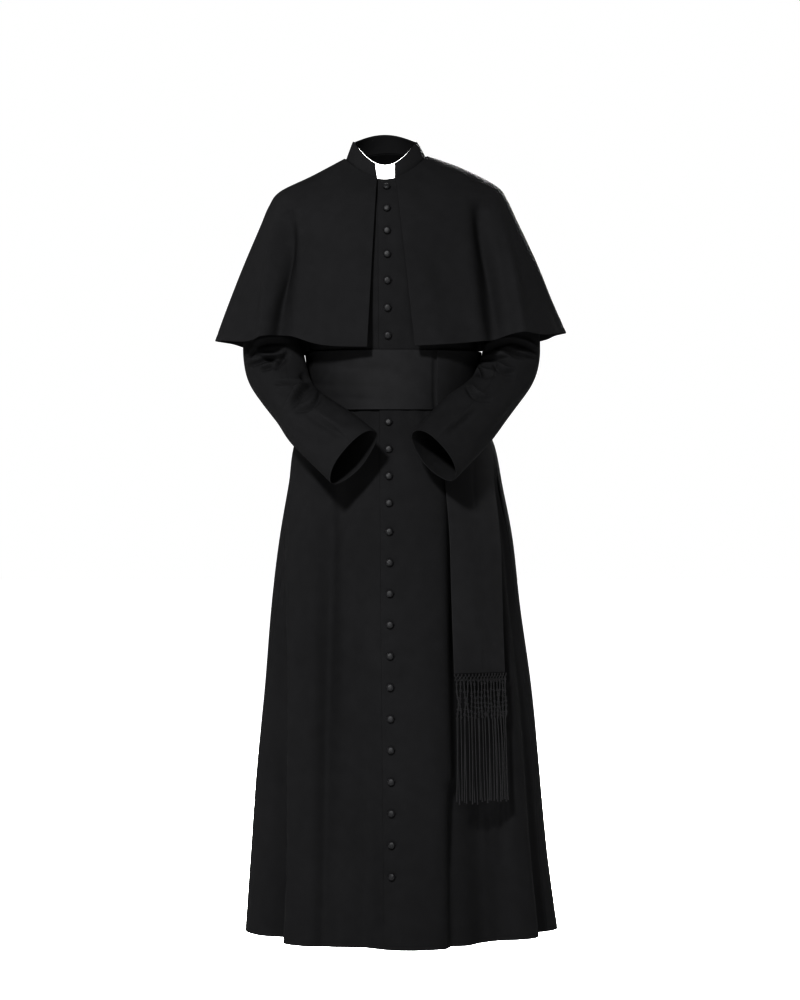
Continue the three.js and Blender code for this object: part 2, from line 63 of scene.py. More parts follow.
# Every column of a table between its lines, on a Catmull-Rom curve.
def between(rings, row):
    last = len(next(iter(rings.values()))) - 1
    i = np.clip(np.floor(row).astype(int), 0, last - 1)
    t = row - i
    found = {}
    for name, values in rings.items():
        before, start, end, after = (values[np.clip(i + k, 0, last)] for k in (-1, 0, 1, 2))
        slopeIn, slopeOut, rise = (end - before) / 2, (after - start) / 2, end - start
        cubic = 3 * rise - 2 * slopeIn - slopeOut
        found[name] = start + t * slopeIn + t * t * cubic + t**3 * (slopeIn + slopeOut - 2 * rise)
    return found


def smooth(value, low, high):  # 0 below low, 1 above high, and a soft step between them
    t = np.clip((value - low) / (high - low), 0, 1)
    return t * t * (3 - 2 * t)


def bell(value, width):
    return np.exp(-((value / width) ** 2))


def fixed(*edges):  # the same edges on every row
    return lambda row: tuple(edge + 0 * row for edge in edges)


def wrapped(angle):  # the same angle between -180 and 180 degrees
    return (angle + 180) % 360 - 180


def unit(vectors):
    return vectors / np.linalg.norm(vectors, axis=-1, keepdims=True)


# ---- the garment's rings and folds

ringNames = "side front back half fore aft centre tilt"

bodyRings = table(
    ringNames,
    (0, -44, 18, 74, 60, 62, 0, 2.5),  # neck edge
    (-33, -76, -15, 130, 88, 92, 2, 7),
    (-59, -107, -60, 186, 104, 108, 4, 6),  # shoulder tips
    (-110, -150, -125, 186, 115, 118, 5, 6),
    (-170, -195, -180, 176, 122, 122, 6, 5),
    (-235, -235, -235, 165, 126, 120, 8, 3),  # underarm
    (-300, -300, -300, 160, 126, 114, 12, 1),
    (waist, waist, waist, 158, 120, 106, 14),
    (-422, -422, -422, 156, 117, 103, 14),
    (sashBottom, sashBottom, sashBottom, 160, 120, 106, 14),
    (-540, -540, -540, 190, 138, 140, 15),  # hips
    (-620, -620, -620, 205, 153, 160, 16),
    (-720, -720, -720, 222, 170, 182, 17.5),
    (-850, -850, -850, 236, 188, 204, 17.5),
    (-1000, -1000, -1000, 252, 210, 226, 22),
    (-1150, -1150, -1150, 266, 229, 246, 22.5),
    (-1310, -1310, -1310, 278, 247, 265, 24),
    (hem + 9, hem, hem, 292, 262, 282, 27),
)
capeRings = table(
    ringNames,
    (4.5, -41.5, 22.5, 79, 66, 67, 0, 2.5),  # neck edge
    (-23, -75, -4, 141, 98, 101, 1, 7.5),
    (-55, -118, -50, 205, 117, 123, 4, 5.5),  # over the shoulder tips
    (-82, -145, -84, 226, 124, 130, 4, 6),
    (-120, -178, -125, 243, 130, 137, 5, 6.5),
    (-200, -240, -205, 278, 138, 145, 7, 7),
    (-275, -305, -290, 307, 145, 153, 8, 7),
    (-336, -361, -370, 331, 152, 160, 11, 7.5),  # hem
)
collarRings = table(
    ringNames,
    (34, -17, 53, 61, 59, 53, -2),  # top edge
    (18, -29.5, 36, 68, 61, 59, -1, 1.2),
    (1.6, -41.5, 19.6, 75.8, 62, 63.5, 0, 2.5),
)

# A fold's angle and width, how far it moves the cloth out, along the ring and up at the hem, and by how
# many degrees it starts beside its angle at the top.
foldNames = "angle width out along lift turn"

skirtFolds = table(
    foldNames,
    (-16, 10, -34, 0, 0, -6),  # trough beside the buttons
    (-33, 9, 12, 0, 0, -23),  # roll in front of the thigh
    (-40.5, 5, 8, -26, 0, -34),  # its overhanging edge
    (-52, 8, -48, 0, 0, -44),  # deep valley behind the roll
    (-76, 8, 6),
    (-98, 8, -24),
    (-115, 9, 13),
    (-133, 8, -31),
    (-152, 9, 12),
    (-168, 7, -20),
    (38, 13, -46),  # broad trough under the sash's fall
    (57, 8, 8),
    (70, 6, -22),
    (84, 6, 6),
    (104, 8, -26),
    (120, 9, 14),
    (137, 8, -30),
    (155, 9, 12),
    (174, 6, -14),
)
capeFolds = table(
    foldNames,
    (-32, 8, -14),
    (-39, 11, 0, 0, 19),
    (-46, 7, 9),
    (-68, 7, -6),
    (-92, 8, 4),
    (-110, 8, -9),
    (-128, 9, 9),
    (-147, 8, -12),
    (-165, 8, 7),
    (27, 8, -12),
    (37, 4, -4),
    (46, 9, 0, 0, 10),
    (51, 8, 10),
    (78, 8, -5),
    (105, 8, -8),
    (122, 9, 8),
    (141, 8, -12),
    (160, 8, 8),
    (177, 6, -6),
)


# Each ring is an ellipse, deeper behind than before, whose height goes from its side's to its front's
# or back's with the cosine squared; each fold then pushes a bell-shaped stretch of it, more towards
# the hem.
def drape(rings, folds=None, top=0, growth=1):
    end = rings["side"][-1]
    lines = linesOf(folds) if folds else []

    def surface(row, angle):
        row, angle = np.broadcast_arrays(np.asarray(row, float), np.asarray(angle, float))
        ring = between(rings, row)
        sine, cosine = np.sin(np.radians(angle)), np.cos(np.radians(angle))
        depth = np.where(cosine > 0, ring["fore"], ring["aft"])
        level = np.where(cosine > 0, ring["front"], ring["back"])
        x = ring["centre"] + ring["half"] * sine
        y = -depth * cosine
        z = ring["side"] * sine**2 + level * cosine**2 + ring["tilt"] * sine
        tangentX, tangentY = ring["half"] * cosine, depth * sine
        size = np.hypot(tangentX, tangentY)
        tangentX, tangentY = tangentX / size, tangentY / size
        fallen = np.clip((top - ring["side"]) / (top - end), 0, 1)
        for fold in lines:
            middle = fold["angle"] + fold["turn"] * (1 - fallen) ** 2
            away = wrapped(angle - middle)
            reach = fallen**growth * bell(away, fold["width"])
            x = x + reach * (tangentY * fold["out"] + tangentX * fold["along"])
            y = y + reach * (tangentY * fold["along"] - tangentX * fold["out"])
            z = z + reach * fold["lift"]
        return np.stack([x, y, z], -1)

    return surface


# The outward direction: the cross product of a small step down the rows and one round them.
def normalOf(surface, row, turn, steps=(0.25, 0.5)):
    rowStep, turnStep = steps
    down = surface(row + rowStep, turn) - surface(row - rowStep, turn)
    sideways = surface(row, turn + turnStep) - surface(row, turn - turnStep)
    return unit(np.cross(down, sideways))


# A surface moved out along its normals by a height, which may be a function of row and turn.
def raised(surface, height, steps=(0.25, 0.5)):
    def higher(row, turn):
        rise = height(row, turn) if callable(height) else np.asarray(float(height))
        return surface(row, turn) + normalOf(surface, row, turn, steps) * rise[..., None]

    return higher


plainBody = drape(bodyRings)
rowSamples = np.linspace(0, len(bodyRings["side"]) - 1, 3401)
heightSamples = {angle: plainBody(rowSamples, angle)[:, 2] for angle in (0, 90)}


def bodyRow(height, angle):  # the row whose point at the angle lies at a height
    return np.interp(-np.asarray(height, float), -heightSamples[angle], rowSamples)


def frontAngle(rings, row, x):  # where a row passes through an X at the front
    ring = between(rings, row)
    return np.degrees(np.arcsin((x - ring["centre"]) / ring["half"]))


# ---- closed shells of cloth


rimSteps = np.array([0, 0.6, 1.6, 3.5])


# Distances from 0 to a length, one every step, with the rim's closer ones just inside both ends.
def spaced(length, step):
    first = rimSteps[-1]
    count = max(3, int(np.ceil((length - 2 * first) / step)) + 1)
    middle = np.linspace(first, length - first, count)
    return np.concatenate([rimSteps[:-1], middle, length - rimSteps[-2::-1]])


# The rows and turns of a piece's grid, spaced evenly over the cloth, and each point's distance along
# its row and down its column. The two outer columns stand back from their seams by half the gap.
def gridOf(surface, first, last, edges, step, loop):
    fine = np.linspace(first, last, 400)
    start, end = edges(fine)
    path = surface(fine, (start + end) / 2)
    along = np.append(0, np.cumsum(np.linalg.norm(np.diff(path, axis=0), axis=1)))
    drops = spaced(along[-1], step)
    rows = np.interp(drops, along, fine)[:, None]
    start, end = (edge[:, None] for edge in edges(rows[:, 0]))
    ring = surface(rows, start + (end - start) * np.linspace(0, 1, 97))
    width = np.linalg.norm(np.diff(ring, axis=1), axis=2).sum(1)[:, None]
    widest = width.max()
    if loop:
        count = int(round(widest / step))
        share = np.arange(count + 1) / count * np.ones_like(width)
    else:
        even = spaced(widest, step)
        rim = rimSteps[-1]
        share = (rim + (even - rim) / (widest - 2 * rim) * (width - 2 * rim)) / width
        near, far = even < rim, even > widest - rim
        share[:, near] = (even[near] + seamGap / 2) / width
        share[:, far] = 1 - (widest - even[far] + seamGap / 2) / width
    return rows, start + (end - start) * share, share * width, drops[:, None] * np.ones_like(share), width


def inScene(name, data):
    thing = bpy.data.objects.new(name, data)
    bpy.context.scene.collection.objects.link(thing)
    return thing


# One closed mesh from groups of faces with equal counts of corners, with a UV map in metres of cloth.
def meshOf(name, points, groups, material):
    mesh = bpy.data.meshes.new(name)
    mesh.vertices.add(len(points))
    mesh.vertices.foreach_set("co", (points * metre).astype(np.float32).ravel())
    corners = np.concatenate([faces.ravel() for faces, _ in groups])
    sizes = np.concatenate([np.full(len(faces), faces.shape[1]) for faces, _ in groups])
    mesh.loops.add(len(corners))
    mesh.loops.foreach_set("vertex_index", corners.astype(np.int32))
    mesh.polygons.add(len(sizes))
    mesh.polygons.foreach_set("loop_start", np.append(0, np.cumsum(sizes)[:-1]).astype(np.int32))
    mesh.polygons.foreach_set("use_smooth", np.ones(len(sizes), bool))
    uvs = np.concatenate([uv.reshape(-1, 2) for _, uv in groups]) * metre
    mesh.update(calc_edges=True)
    layer = mesh.uv_layers.new(name="cloth")
    layer.data.foreach_set("uv", uvs.astype(np.float32).ravel())
    mesh.materials.append(material)
    mesh.validate()
    return inScene(name, mesh)


# A closed wall between an outer and an inner grid. A loop of points half way between them, pushed out
# a little, makes each free edge round. On a ring the last column lies on the first one.
def wallOf(name, outer, inner, uv, material, facing, loop):
    rows, columns = outer.shape[:2]
    lasting = columns - 1 if loop else columns
    r, c = (axis.ravel() for axis in np.mgrid[0 : rows - 1, 0 : columns - 1])
    cornerRows = np.stack([r, r + 1, r + 1, r], 1)
    cornerColumns = np.stack([c, c, c + 1, c + 1], 1)
    index = lambda rr, cc: rr * lasting + cc % lasting
    faces = index(cornerRows, cornerColumns)
    faceUv = uv[cornerRows, cornerColumns]
    count = rows * lasting
    points = [outer[:, :lasting].reshape(-1, 3), inner[:, :lasting].reshape(-1, 3)]
    groups = [(faces, faceUv), (faces[:, ::-1] + count, faceUv[:, ::-1])]
    down, right = np.arange(rows), np.arange(columns)
    if loop:
        cycles = [(right * 0 + rows - 1, right), (right * 0, right[::-1])]
    else:
        around = [(down, down * 0), (right * 0 + rows - 1, right), (down[::-1], down * 0 + columns - 1)]
        around.append((right * 0, right[::-1]))
        cycles = [tuple(np.concatenate([side[k][:-1] for side in around]) for k in (0, 1))]
        cycles = [tuple(np.append(axis, axis[0]) for axis in cycles[0])]
    total = 2 * count
    for rr, cc in cycles:
        near = (np.clip(rr, 1, rows - 2), cc if loop else np.clip(cc, 1, columns - 2))
        apart = np.linalg.norm(outer[rr, cc] - inner[rr, cc], axis=1, keepdims=True)
        away = unit(outer[rr, cc] - outer[near])
        points.append(((outer[rr, cc] + inner[rr, cc]) / 2 + away * apart * 0.35)[:-1])
        edge = index(rr, cc)
        middle = total + np.arange(len(rr)) % (len(rr) - 1)
        strip = uv[rr, cc]
        stripUv = np.stack([strip[1:], strip[:-1], strip[:-1], strip[1:]], 1)
        groups.append((np.stack([edge[1:], edge[:-1], middle[:-1], middle[1:]], 1), stripUv))
        inside = edge + count
        groups.append((np.stack([middle[1:], middle[:-1], inside[:-1], inside[1:]], 1), stripUv))
        total += len(rr) - 1
    if facing < 0:
        groups = [(faces[:, ::-1], faceUv[:, ::-1]) for faces, faceUv in groups]
    return meshOf(name, np.concatenate(points), groups, material)


# One sewn piece: its surface on an even grid, moved out by its own small shapes, dipping where it is
# sewn to the next piece, and given its thickness. It stands for the frame's node of the same name.
def sew(name, surface, rows, edges, thickness, step, look, held, shape=None, facing=1,
        steps=(0.25, 0.5), sewn="", dip=0.8, loop=False, hangsFrom=(), withPieces=()):
    row, turn, across, drop, width = gridOf(surface, *rows, edges, step, loop)
    points = surface(row, turn)
    normal = normalOf(surface, row, turn, steps) * facing
    if shape:
        points = points + normal * shape(points, normal, row, turn)[..., None]
    edgesAway = {"left": across, "right": width - across, "top": drop, "bottom": drop.max() - drop}
    sunk = sum((dip * bell(edgesAway[edge], 1.3) for edge in sewn.split()), np.zeros(turn.shape))
    inner = points - normal * thickness
    outer = points - normal * sunk[..., None]
    uv = np.stack([across - width / 2, -drop], -1)
    piece = wallOf(name + "_cloth", outer, inner, uv, materials[look], facing, loop)
    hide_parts(name)
    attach(piece, "root")
    return piece


creaseNames = "x1 z1 x2 z2 x3 z3 width depth lip"


# Soft creases on what faces the viewer of the front (or the back): each is a curve through three
# points of the front view, with a trough of a width and depth along it and a lip on its upper side,
# and it fades out at both its ends. A negative depth is a ridge.
def creased(creases, towards=-1):
    def push(points, normal, row, turn):
        flat = points[..., [0, 2]].reshape(-1, 1, 2)
        total = np.zeros(len(flat))
        for crease in linesOf(creases):
            start, middle, end = (np.array([crease[f"x{k}"], crease[f"z{k}"]]) for k in (1, 2, 3))
            bend = 2 * middle - (start + end) / 2
            length = np.linalg.norm(middle - start) + np.linalg.norm(end - middle)
            t = np.linspace(0, 1, int(4 * length / crease["width"]) + 9)[:, None]
            curve = (1 - t) ** 2 * start + 2 * t * (1 - t) * bend + t * t * end
            reach = 4 * crease["width"]
            low, high = curve.min(0) - reach, curve.max(0) + reach
            inside = np.flatnonzero(((flat[:, 0] > low) & (flat[:, 0] < high)).all(1))
            away = flat[inside] - curve
            distance = np.linalg.norm(away, axis=2)
            nearest = distance.argmin(1)
            gap = distance[np.arange(len(inside)), nearest]
            aim = np.gradient(curve, axis=0)[nearest]
            offset = away[np.arange(len(inside)), nearest]
            side = np.sign(aim[:, 0] * offset[:, 1] - aim[:, 1] * offset[:, 0]) * np.sign(aim[:, 0])
            fade = np.sin(np.pi * t[nearest, 0]) ** 0.7
            trough = -crease["depth"] * bell(gap, crease["width"])
            lip = crease["lip"] * bell(gap * side - 1.6 * crease["width"], crease["width"])
            total[inside] += fade * (trough + lip)
        facing = smooth(normal[..., 1] * towards, 0.05, 0.45)
        return total.reshape(row.shape if row.shape == turn.shape else points.shape[:2]) * facing

    return push


def together(*pushes):  # several small shapes added up
    return lambda *place: sum(push(*place) for push in pushes)


# ---- materials


# Links each named input of a node to a socket, or gives it a value.
def fill(tree, node, inputs):
    for name, value in inputs.items():
        if isinstance(value, bpy.types.NodeSocket):
            tree.links.new(value, node.inputs[name])
        else:
            node.inputs[name].default_value = value


def addNode(tree, kind, inputs=(), **settings):
    node = tree.nodes.new("ShaderNode" + kind)
    for name, value in settings.items():
        setattr(node, name, value)
    fill(tree, node, dict(inputs))
    return node.outputs


def maths(tree, operation, first, second=0):
    return addNode(tree, "Math", {0: first, 1: second}, operation=operation)[0]


# A node group with named inputs and one output, which a function builds.
def nodeGroup(name, inputs, output, build):
    group = bpy.data.node_groups.new(name, "ShaderNodeTree")
    for label, kind in inputs.items():
        group.interface.new_socket(name=label, in_out="INPUT", socket_type=kind)
    group.interface.new_socket(name=output, in_out="OUTPUT", socket_type="NodeSocketFloat")
    entry = group.nodes.new("NodeGroupInput").outputs
    fill(group, group.nodes.new("NodeGroupOutput"), {output: build(group, entry)})
    return group


# Weave: slanting ribs from a sine over the cloth's own lengths, crossed by a finer sine that breaks each
# rib into threads, with soft noise for uneven yarn.
def buildWeave(tree, entry):
    parts = addNode(tree, "SeparateXYZ", {0: entry["Cloth"]})
    across = maths(tree, "ADD", maths(tree, "MULTIPLY", parts["X"], entry["Slant"]), parts["Y"])
    rib = maths(tree, "SINE", maths(tree, "MULTIPLY", across, entry["Ribs"]))
    thread = maths(tree, "SINE", maths(tree, "MULTIPLY", parts["X"], entry["Threads"]))
    thread = maths(tree, "MULTIPLY", thread, 0.35)
    yarn = addNode(tree, "TexNoise", {"Vector": entry["Cloth"], "Scale": 900, "Detail": 3})["Fac"]
    return maths(tree, "ADD", maths(tree, "ADD", rib, thread), yarn)


# Tone: a broad and a close noise over the object mixed to one soft value round a half.
def buildTone(tree, entry):
    noises = [
        addNode(tree, "TexNoise", {"Vector": entry["Place"], "Scale": scale, "Detail": detail})["Fac"]
        for scale, detail in ((5, 3), (45, 4))
    ]
    return maths(tree, "MULTIPLY", maths(tree, "ADD", *noises), 0.5)


kind = "NodeSocketFloat"
clothInputs = {"Cloth": "NodeSocketVector", "Slant": kind, "Ribs": kind, "Threads": kind}
weave = nodeGroup("weave", clothInputs, "Height", buildWeave)
tone = nodeGroup("tone", {"Place": "NodeSocketVector"}, "Value", buildTone)
toneRange = 0.35, 0.65  # the tone's values that give the dark and the light colour
bumpDepth = 0.0003  # metres

# Dark and light are the two ends of the cloth's colour, rough the two ends of its roughness, gloss its
# mirror level, ribs and threads turns per metre times two pi, and slant 1 for a twill's diagonal or 0
# for level ribs. The fringe's cords are the same silk with a higher gloss, and a lighter colour that paints
# the light their round strands catch.
finishes = {
    "wool": {"dark": (0.0094, 0.0094, 0.0098), "light": (0.0116, 0.0116, 0.0121), "rough": (0.8, 0.92),
             "gloss": 0.05, "slant": 1.0, "ribs": 4800, "threads": 9000, "bump": 0.22},
    "silk": {"dark": (0.0096, 0.0096, 0.0100), "light": (0.0128, 0.0128, 0.0134), "rough": (0.66, 0.76),
             "gloss": 0.08, "slant": 0.0, "ribs": 6900, "threads": 5200, "bump": 0.14},
    # painted light: the cords' colour is lighter than the silk they are made of, standing in for the light on
    # their round strands
    "painted_light_cord": {"dark": (0.0125, 0.0125, 0.013), "light": (0.0168, 0.0168, 0.0174), "rough": (0.5, 0.6),
             "gloss": 0.16, "slant": 0.0, "ribs": 6900, "threads": 5200, "bump": 0.14},
    "linen": {"dark": (0.8, 0.8, 0.79), "light": (0.88, 0.88, 0.87), "rough": (0.42, 0.5),
              "gloss": 0.4, "slant": 0.0, "ribs": 9500, "threads": 9500, "bump": 0.05},
    "covered": {"dark": (0.0085, 0.0085, 0.009), "light": (0.011, 0.011, 0.0116), "rough": (0.42, 0.5),
                "gloss": 0.16, "slant": 1.0, "ribs": 5200, "threads": 9000, "bump": 0.18},
}


def newMaterial(name):
    material = bpy.data.materials.new(name)
    material.use_nodes = True
    return material, material.node_tree, material.node_tree.nodes["Principled BSDF"]


def clothMaterial(name, finish):
    material, tree, shader = newMaterial(name)
    place = addNode(tree, "TexCoord")
    shade = addNode(tree, "Group", {"Place": place["Object"]}, node_tree=tone)
    low, high = toneRange
    contrast = addNode(tree, "MapRange", {"Value": shade["Value"], "From Min": low, "From Max": high})
    ends = {"A": (*finish["dark"], 1), "B": (*finish["light"], 1)}
    colour = addNode(tree, "Mix", {"Factor": contrast["Result"], **ends}, data_type="RGBA")
    sleek, dull = finish["rough"]
    rough = addNode(tree, "MapRange", {"Value": shade["Value"], "To Min": sleek, "To Max": dull})
    threads = {key.title(): finish[key] for key in ("slant", "ribs", "threads")}
    woven = addNode(tree, "Group", {"Cloth": place["UV"], **threads}, node_tree=weave)
    relief = {"Strength": finish["bump"], "Distance": bumpDepth, "Height": woven["Height"]}
    fill(tree, shader, {
        "Base Color": colour["Result"],
        "Roughness": rough["Result"],
        "Normal": addNode(tree, "Bump", relief)["Normal"],
        "Specular IOR Level": finish["gloss"],
    })
    return material


materials = {name: clothMaterial(name, finish) for name, finish in finishes.items()}
print("materials made")


# ---- the body's panels

body = {
    "cloth": 1.5,
    "step": 5.2,
    "overlap": 16.5,  # of the left front past the buttons, and of the right one under them
    "overlapLift": 2.2,
    "overlapEnd": (20, 40),  # degrees between which the left front comes down to the body
    "ripple": 0.9,
    "front": table(
        creaseNames,
        (-104, -540, -110, -1000, -116, -1900, 24, 24),
        (-160, -640, -172, -1050, -184, -1900, 17, -5),
        (-56, -620, -54, -1050, -52, -1900, 22, -7),
        (124, -620, 133, -950, 138, -1330, 11, 21),  # the flat hollow behind the sash's fall
        (143, -640, 152, -950, 156, -1330, 12, 17),
        (162, -640, 171, -950, 175, -1330, 12, 17),
        (182, -640, 190, -950, 194, -1330, 12, 17),
        (204, -600, 212, -950, 216, -1330, 13, 20),
        (128, -1160, 132, -1370, 130, -1900, 17, 19),
        (180, -1230, 186, -1400, 190, -1900, 18, -6),
    ),
    "back": table(
        creaseNames,
        (-120, -600, -134, -1000, -146, -1900, 19, 9),
        (-56, -640, -60, -1040, -66, -1900, 20, -5),
        (52, -600, 60, -1000, 66, -1900, 19, 9),
        (128, -640, 140, -1040, 152, -1900, 20, -5),
    ),
}

# Puckers where the cloth is gathered under the sash: angle, width in degrees, depth and length down.
puckers = table(
    "angle width depth length",
    (-68, 4, 3.2, 60), (-56, 3, 2.2, 34), (-47, 3.4, 2.8, 75), (-36, 3, 1.8, 40), (-27, 3.2, 2.2, 62),
    (-12, 3.4, 1.5, 45), (9, 3, 1.4, 38), (21, 3.4, 2.0, 60), (66, 3.4, 2.4, 40), (80, 4, 3.2, 70),
    (93, 3.4, 2.4, 45), (107, 4, 3.2, 80), (121, 3.4, 2.2, 40), (134, 4, 3.0, 70), (149, 3.4, 2.4, 50),
    (163, 4, 2.8, 76), (177, 3.4, 2.0, 40), (-82, 3.4, 2.4, 48), (-96, 4, 3.0, 74), (-110, 3.4, 2.2, 42),
    (-124, 4, 3.2, 66), (-140, 3.4, 2.4, 50), (-155, 4, 3.0, 80), (-169, 3.4, 2.2, 46),
)


# Soft unevenness of hung cloth: three slow sines over angle and height, growing down the skirt, the
# puckers under the sash, and the turned-up hem's faint step.
def skirtShape(row, angle):
    ring = between(bodyRings, np.asarray(row, float))
    height = ring["front"]
    fallen = smooth(-height, -sashBottom, -hem)
    turn = np.radians(angle)
    rise = body["ripple"] * fallen * (
        np.sin(7 * turn + height / 170)
        + 0.7 * np.sin(12 * turn - height / 115 + 1.3)
        + 0.5 * np.sin(19 * turn + height / 240 + 0.6)
    )
    below = sashBottom - height
    for pucker in linesOf(puckers):
        away = wrapped(angle - pucker["angle"])
        fade = np.where(below > 0, bell(below, pucker["length"]), bell(below, 14))
        rise = rise - pucker["depth"] * bell(away, pucker["width"]) * fade
    return rise - 0.35 * bell(height - (hem + 42), 2.2)


wornBody = raised(drape(bodyRings, skirtFolds, foldTop, foldGrowth), skirtShape)
leftFront = raised(
    wornBody, lambda row, angle: body["overlapLift"] * (1 - smooth(angle, *body["overlapEnd"]))
)

armholeEdges = table(
    "ring front back",
    (armholeTop, 90, 90), (2.3, 76, 104), (3, 62, 116), (4, 60, 118), (armholeEnd, 75, 115),
)


# The outer edge of a front or back: the shoulder, then the armhole, then the side seam.
def panelEdge(row, edge, seam):
    hole = np.interp(row, armholeEdges["ring"], armholeEdges[edge])
    under = hole + (seam - hole) * np.clip(row - armholeEnd, 0, 1)
    return np.where(row <= armholeTop, 90, under)


def buttonX(height):  # the buttoned line leans to the wearer's left
    return 1 + 12.5 * height / hem


def openEdge(row, reach):
    return frontAngle(bodyRings, row, buttonX(between(bodyRings, row)["front"]) + reach)


def sewBody():
    last = len(bodyRings["side"]) - 1
    whole, below = (0, last), (armholeEnd, last)
    common = {"thickness": body["cloth"], "step": body["step"], "look": "wool", "held": "hung"}
    front = lambda row: panelEdge(row, "front", sideSeam)
    back = lambda row: panelEdge(row, "back", backSeam)
    middle = lambda row: 180 + 0 * row
    ahead, behind = creased(body["front"]), creased(body["back"], towards=1)
    sew("front_left", leftFront, whole, lambda row: (openEdge(row, -body["overlap"]), front(row)),
        shape=ahead, sewn="right", **common)
    sew("front_right", wornBody, whole, lambda row: (-front(row), openEdge(row, body["overlap"])),
        shape=ahead, sewn="left", **common)
    sew("side_left", wornBody, below, lambda row: (front(row), back(row)), sewn="left right", **common)
    sew("side_right", wornBody, below, lambda row: (-back(row), -front(row)), sewn="left right", **common)
    sew("back_left", wornBody, whole, lambda row: (back(row), middle(row)),
        shape=behind, sewn="left right", **common)
    sew("back_right", wornBody, whole, lambda row: (-middle(row), -back(row)),
        shape=behind, sewn="left right", **common)


sewBody()
print("body panels sewn")


# ---- sleeves

sleeveNames = "outerX outerY outerZ innerX innerY innerZ breadth"
sleeves = {
    "cloth": 1.5,
    "step": 3.6,
    "press": 16,  # how suddenly a sleeve flattens against the body
    "armholeClear": 1.6,
    "armholeSides": 0.4,  # share of its loop that each side takes
    "seamDip": 0.2,
    "seams": (-0.22, 0.3, 0.78),  # in turns from the elbow's side towards the front
    "right": {
        "side": -1,
        "clear": 9,
        "rings": table(
            sleeveNames,
            (-226, 3, -122, -167, 3, -238, 66),
            (-240, 3, -163, -168, 3, -247, 64),
            (-252, 3, -207, -167, 3, -261, 62),
            (-262, 3, -262, -166, 3, -283, 61),
            (-268, 3, -306, -166, 3, -312, 60),
            (-272, 2, -350, -150, 0, -343, 59),
            (-270, 0, -386, -141, -12, -371, 57),
            (-258, -14, -424, -137, -24, -397, 55),  # elbow
            (-232, -42, -465, -135, -50, -420, 53),
            (-200, -80, -507, -126, -80, -436, 51),
            (-174, -118, -541, -104, -118, -456, 47),
            (-137, -168, -579, -60, -168, -488, 40),
            (-99.5, -218, -615, -17.5, -218, -520, 31),  # cuff
        ),
        "front": table(
            creaseNames,
            (-246, -373, -213, -381, -181, -369, 4.5, 12, 6.8),
            (-244, -359, -222, -350, -180, -351, 5.4, 9.9, 4.5),
            (-262, -382, -253, -371, -243, -357, 3.6, 7.6, 3.3),
            (-259, -397, -239, -386, -211, -381, 4.5, 11, 5.7),
            (-238, -401, -222, -398, -207, -387, 4, 7.6, 4.5),
            (-209, -401, -198, -386, -183, -376, 4.5, 11, 4.5),
            (-210, -426, -172, -429, -136, -427, 3.8, 6.5, 2),
            (-160, -408, -147, -419, -134, -422, 6, 11, 2),  # the crook's hollow
            (-212, -432, -170, -436, -132, -433, 3.6, -3.5),
            (-173, -477, -156, -444, -129, -432, 4.5, 14.2, 6.8),
            (-169, -484, -134, -468, -120, -441, 4.5, 11, 4.5),
            (-184, -484, -173, -461, -159, -432, 5.4, -6.1),
            (-222, -462, -170, -515, -118, -556, 10, 2.4, 1.8),
            (-150, -482, -112, -508, -72, -531, 7.2, 4.9, 3.3),
        ),
        "back": table(
            creaseNames,
            (-264, -372, -225, -384, -178, -371, 5.4, 9.9, 4.5),
            (-266, -403, -236, -411, -188, -396, 5.4, 9.9, 5.7),
            (-250, -436, -221, -430, -176, -409, 5.4, 8.8, 4.5),
            (-225, -462, -200, -452, -172, -428, 6.3, 6.5, 3.3),
        ),
    },
    "left": {
        "side": 1,
        "clear": 11.5,
        "rings": table(
            sleeveNames,
            (236, 3, -112, 183, 3, -230, 66),
            (254, 3, -158, 186, 3, -242, 64),
            (268, 3, -205, 187, 3, -258, 62),
            (280, 3, -258, 187, 3, -280, 61),
            (288, 3, -305, 186, 3, -309, 60),
            (293, 2, -350, 172, 0, -343, 59),
            (291, -2, -386, 162, -14, -372, 57),
            (277, -14, -424, 156, -28, -397, 55),  # elbow
            (250, -42, -465, 152, -54, -418, 53),
            (219, -83, -507, 140, -86, -430, 51),
            (191, -122, -541, 114, -122, -451, 47),
            (159, -170, -576, 81, -170, -488, 40),
            (127, -218, -608.5, 51, -218, -520.5, 31),  # cuff
        ),
        "front": table(
            creaseNames,
            (174, -372, 213, -353, 246, -349, 4.5, 12, 5.7),
            (240, -349, 266, -356, 288, -372, 4.5, 11, 5.7),
            (223, -361, 250, -374, 290, -379, 4.5, 9.9, 4.5),
            (197, -364, 218, -370, 238, -375, 4.5, -4.4),
            (176, -381, 203, -380, 231, -379, 3.6, 8.8, 3.3),
            (202, -387, 218, -403, 244, -407, 4.5, 12, 5.7),
            (169, -387, 176, -408, 205, -411, 4.5, 12, 6.8),
            (172, -345, 160, -380, 166, -416, 11, 13),  # the crook's hollow
            (214, -424, 230, -426, 246, -424, 12, 3),
            (150, -431, 168, -453, 198, -460, 4.5, 12, 6.8),
            (262, -448, 218, -500, 172, -548, 10, 2.4, 1.8),
            (172, -476, 140, -505, 108, -530, 7.2, 4.9, 3.3),
        ),
        "back": table(
            creaseNames,
            (182, -368, 235, -383, 286, -370, 5.4, 9.9, 4.5),
            (190, -398, 240, -411, 284, -400, 5.4, 9.9, 5.7),
            (186, -412, 228, -432, 268, -434, 5.4, 8.8, 4.5),
            (184, -430, 214, -454, 242, -464, 6.3, 6.5, 3.3),
        ),
    },
}


